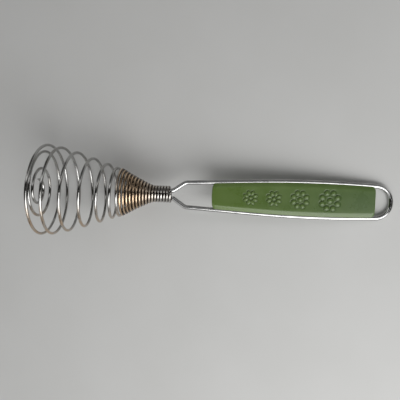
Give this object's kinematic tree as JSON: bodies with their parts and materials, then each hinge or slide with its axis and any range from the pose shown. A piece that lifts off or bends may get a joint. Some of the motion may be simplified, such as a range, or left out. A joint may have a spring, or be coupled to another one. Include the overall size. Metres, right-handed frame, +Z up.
{
  "type": "coil whisk",
  "caption": "Coil whisk: a sprung cone of wire turns on a bent wire handle, with a moulded grip set in it.",
  "frame": {"origin": "under the middle of the whisk's bounding box, on the surface that it lies on", "axes": "+X along the whisk from the head to the hanging loop, +Z up from the surface, the flower side of the grip up"},
  "size_m": [0.253, 0.0663, 0.0665],
  "materials": {
    "handle_chrome": "polished, slightly dulled by use",
    "neck_chrome": "polished, dull in the grooves",
    "coil_chrome": "polished, lightly tanned",
    "tanned_wire": "plating worn and tanned brown",
    "grip_plastic": "moulded, satin"
  },
  "bodies": {
    "handle": {"handle_wire": "handle_chrome", "grip": "grip_plastic", "coil_neck": "neck_chrome", "coil_cone": "tanned_wire"},
    "coil_arc_01": {"coil_arc_01": "coil_chrome"},
    "coil_arc_02": {"coil_arc_02": "coil_chrome"},
    "coil_arc_03": {"coil_arc_03": "coil_chrome"},
    "coil_arc_04": {"coil_arc_04": "coil_chrome"},
    "coil_arc_05": {"coil_arc_05": "coil_chrome"},
    "coil_arc_06": {"coil_arc_06": "coil_chrome"},
    "coil_arc_07": {"coil_arc_07": "coil_chrome"},
    "coil_arc_08": {"coil_arc_08": "coil_chrome"},
    "coil_arc_09": {"coil_arc_09": "coil_chrome"},
    "coil_arc_10": {"coil_arc_10": "coil_chrome"},
    "coil_arc_11": {"coil_arc_11": "coil_chrome"},
    "coil_arc_12": {"coil_arc_12": "coil_chrome"},
    "coil_arc_13": {"coil_arc_13": "coil_chrome"},
    "coil_arc_14": {"coil_arc_14": "coil_chrome"},
    "coil_arc_15": {"coil_arc_15": "coil_chrome"},
    "coil_arc_16": {"coil_arc_16": "coil_chrome"},
    "coil_end": {"coil_end_spiral": "coil_chrome"}
  },
  "joints": [
    {"name": "coil_fold_00", "type": "hinge", "parent": "handle", "child": "coil_arc_01", "pos_m": [-0.06191, 0, 0.04273], "axis": [0, -1, 0], "range_deg": [0, 0.7484], "stiffness_Nm_per_rad": 1.3838},
    {"name": "coil_fold_01", "type": "hinge", "parent": "coil_arc_01", "child": "coil_arc_02", "pos_m": [-0.06798, 0, 0.00952], "axis": [0, -1, 0], "range_deg": [-3.14, 0], "stiffness_Nm_per_rad": 1.3838},
    {"name": "coil_fold_02", "type": "hinge", "parent": "coil_arc_02", "child": "coil_arc_03", "pos_m": [-0.06623, 0, 0.04446], "axis": [0, -1, 0], "range_deg": [0, 6.08], "stiffness_Nm_per_rad": 1.3838},
    {"name": "coil_fold_03", "type": "hinge", "parent": "coil_arc_03", "child": "coil_arc_04", "pos_m": [-0.07465, 0, 0.00823], "axis": [0, -1, 0], "range_deg": [-8.24, 0], "stiffness_Nm_per_rad": 1.3838},
    {"name": "coil_fold_04", "type": "hinge", "parent": "coil_arc_04", "child": "coil_arc_05", "pos_m": [-0.07396, 0, 0.0484], "axis": [0, -1, 0], "range_deg": [0, 9.6], "stiffness_Nm_per_rad": 1.3838},
    {"name": "head_tip", "type": "hinge", "parent": "coil_arc_05", "child": "coil_arc_06", "pos_m": [-0.0793, -0.02184, 0.02722], "axis": [0, -1, 0], "range_deg": [-3, 3], "stiffness_Nm_per_rad": 0.8},
    {"name": "coil_fold_05", "type": "hinge", "parent": "coil_arc_06", "child": "coil_arc_07", "pos_m": [-0.08464, 0, 0.00604], "axis": [0, -1, 0], "range_deg": [-10.26, 0], "stiffness_Nm_per_rad": 1.3838},
    {"name": "head_sway", "type": "hinge", "parent": "coil_arc_07", "child": "coil_arc_08", "pos_m": [-0.08438, 0.02374, 0.02979], "axis": [0.0109, 0, 0.9999], "range_deg": [-4, 4], "stiffness_Nm_per_rad": 0.8},
    {"name": "head_press", "type": "hinge", "parent": "coil_arc_08", "child": "coil_arc_09", "pos_m": [-0.08412, 0, 0.05353], "axis": [0, -1, 0], "range_deg": [0, 10.34], "stiffness_Nm_per_rad": 1.3838},
    {"name": "head_sway_far", "type": "hinge", "parent": "coil_arc_09", "child": "coil_arc_10", "pos_m": [-0.09033, -0.02569, 0.0286], "axis": [0.2417, 0, 0.9704], "range_deg": [-4, 4], "stiffness_Nm_per_rad": 0.8},
    {"name": "coil_fold_07", "type": "hinge", "parent": "coil_arc_10", "child": "coil_arc_11", "pos_m": [-0.09654, 0, 0.00367], "axis": [0, -1, 0], "range_deg": [-10, 0], "stiffness_Nm_per_rad": 1.3838},
    {"name": "head_tip_far", "type": "hinge", "parent": "coil_arc_11", "child": "coil_arc_12", "pos_m": [-0.09596, 0.02757, 0.03124], "axis": [0, -1, 0], "range_deg": [-3, 3], "stiffness_Nm_per_rad": 0.8},
    {"name": "coil_fold_08", "type": "hinge", "parent": "coil_arc_12", "child": "coil_arc_13", "pos_m": [-0.09539, 0, 0.0588], "axis": [0, -1, 0], "range_deg": [0, 9.32], "stiffness_Nm_per_rad": 1.3838},
    {"name": "coil_fold_09", "type": "hinge", "parent": "coil_arc_13", "child": "coil_arc_14", "pos_m": [-0.1087, 0, 0.00177], "axis": [0, -1, 0], "range_deg": [-8.41, 0], "stiffness_Nm_per_rad": 1.3838},
    {"name": "coil_fold_10", "type": "hinge", "parent": "coil_arc_14", "child": "coil_arc_15", "pos_m": [-0.1063, 0, 0.06315], "axis": [0, -1, 0], "range_deg": [0, 7.31], "stiffness_Nm_per_rad": 1.3838},
    {"name": "coil_fold_11", "type": "hinge", "parent": "coil_arc_15", "child": "coil_arc_16", "pos_m": [-0.11943, 0, 0.001], "axis": [0, -1, 0], "range_deg": [-6.05, 0], "stiffness_Nm_per_rad": 1.3838},
    {"name": "coil_fold_12", "type": "hinge", "parent": "coil_arc_16", "child": "coil_end", "pos_m": [-0.11542, 0, 0.06551], "axis": [0, -1, 0], "range_deg": [0, 2.7], "stiffness_Nm_per_rad": 1.3838}
  ],
  "couplings": [
    {"joint": "coil_fold_00", "follows": "head_press", "ratio": 0.072265},
    {"joint": "coil_fold_01", "follows": "head_press", "ratio": -0.30385},
    {"joint": "coil_fold_02", "follows": "head_press", "ratio": 0.58774},
    {"joint": "coil_fold_03", "follows": "head_press", "ratio": -0.79676},
    {"joint": "coil_fold_04", "follows": "head_press", "ratio": 0.92833},
    {"joint": "coil_fold_05", "follows": "head_press", "ratio": -0.99164},
    {"joint": "head_sway_far", "follows": "head_sway", "ratio": 1},
    {"joint": "coil_fold_07", "follows": "head_press", "ratio": -0.96636},
    {"joint": "head_tip_far", "follows": "head_tip", "ratio": 1},
    {"joint": "coil_fold_08", "follows": "head_press", "ratio": 0.90136},
    {"joint": "coil_fold_09", "follows": "head_press", "ratio": -0.81292},
    {"joint": "coil_fold_10", "follows": "head_press", "ratio": 0.70647},
    {"joint": "coil_fold_11", "follows": "head_press", "ratio": -0.58525},
    {"joint": "coil_fold_12", "follows": "head_press", "ratio": 0.2606}
  ]
}
